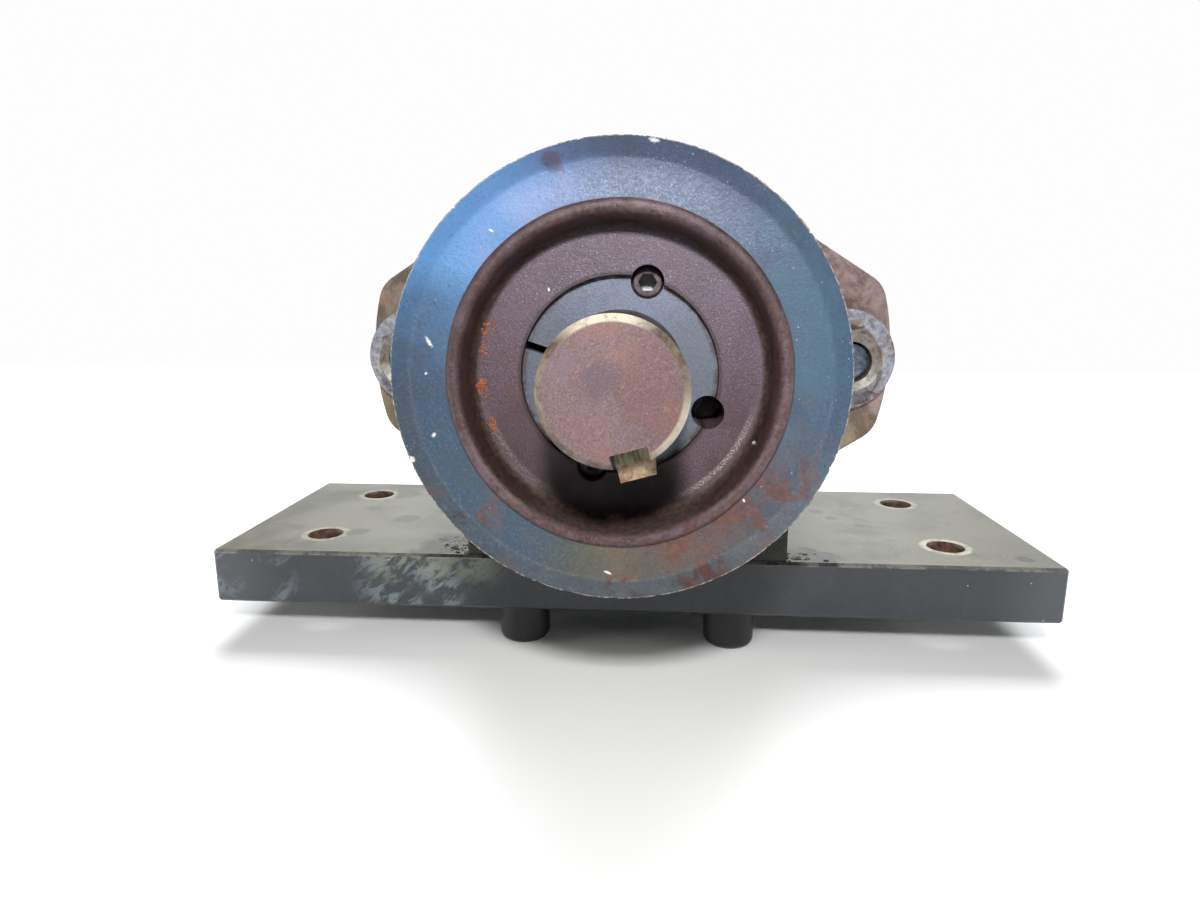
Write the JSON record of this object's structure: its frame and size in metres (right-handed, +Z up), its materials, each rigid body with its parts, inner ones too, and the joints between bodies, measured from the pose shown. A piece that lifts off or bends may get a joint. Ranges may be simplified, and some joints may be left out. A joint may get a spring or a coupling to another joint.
{
  "type": "hydraulic gear motor",
  "caption": "Gear motor with a flanged toothed belt pulley on its keyed shaft, held by an upright bracket on a drilled base plate.",
  "frame": {"origin": "middle of the four base holes, on the underside of the base plate", "axes": "+Z up, the shaft and pulley point to -Y, +X to the right as seen from the shaft end"},
  "size_m": [0.2286, 0.1904, 0.1296],
  "materials": {
    "plate_steel": "dark mill scale, scuffed and greased",
    "bracket_iron": "weathered, with light rust",
    "black_steel": "black oxide",
    "zinc_steel": "dull zinc plate",
    "motor_iron": "dark paint over cast iron",
    "seal_rubber": "matt",
    "gear_steel": "ground",
    "block_aluminium": "machined",
    "bush_bronze": "bronze-backed liner",
    "shaft_steel": "turned, lightly rusted",
    "key_steel": "rust-stained",
    "cage_steel": "pressed",
    "bush_iron": "phosphated grey-blue",
    "pulley_iron": "phosphated, purple-brown",
    "flange_blue": "blued sheet steel, worn at the rim"
  },
  "bodies": {
    "motor": {"base_plate": "plate_steel", "upright_bracket": "bracket_iron", "foot_screws": "black_steel", "ear_bolts": "zinc_steel", "ear_washers": "zinc_steel", "ear_nuts": "zinc_steel", "front_cover": "motor_iron", "gear_housing": "motor_iron", "rear_cover": "motor_iron", "through_bolts": "black_steel", "dowel_pins": "gear_steel", "body_seals": "seal_rubber", "drain_plug": "zinc_steel", "front_bearing_block": "block_aluminium", "rear_bearing_block": "block_aluminium", "front_journal_bushes": "bush_bronze", "rear_journal_bushes": "bush_bronze", "shaft_seal": "seal_rubber", "bearing_snap_ring": "black_steel", "bearing_outer_race": "gear_steel"},
    "shaft": {"output_shaft": "shaft_steel", "shaft_key": "key_steel", "shaft_snap_ring": "black_steel", "bearing_inner_race": "gear_steel", "drive_gear": "gear_steel", "taper_bush": "bush_iron", "bush_set_screws": "black_steel", "belt_pulley": "pulley_iron", "front_pulley_flange": "flange_blue", "rear_pulley_flange": "flange_blue"},
    "idler": {"idler_gear": "gear_steel"},
    "ball_cage": {"bearing_balls": "gear_steel", "bearing_cage": "cage_steel"}
  },
  "joints": [
    {"name": "shaft_spin", "type": "hinge", "parent": "motor", "child": "shaft", "pos_m": [0, -0.0381, 0.0686], "axis": [0, -1, 0], "continuous": true},
    {"name": "idler_spin", "type": "hinge", "parent": "motor", "child": "idler", "pos_m": [0, 0.0319, 0.0956], "axis": [0, -1, 0], "continuous": true},
    {"name": "cage_spin", "type": "hinge", "parent": "motor", "child": "ball_cage", "pos_m": [0, -0.00935, 0.0686], "axis": [0, -1, 0], "continuous": true}
  ],
  "couplings": [
    {"joint": "idler_spin", "follows": "shaft_spin", "ratio": -1},
    {"joint": "cage_spin", "follows": "shaft_spin", "ratio": 0.3963}
  ]
}
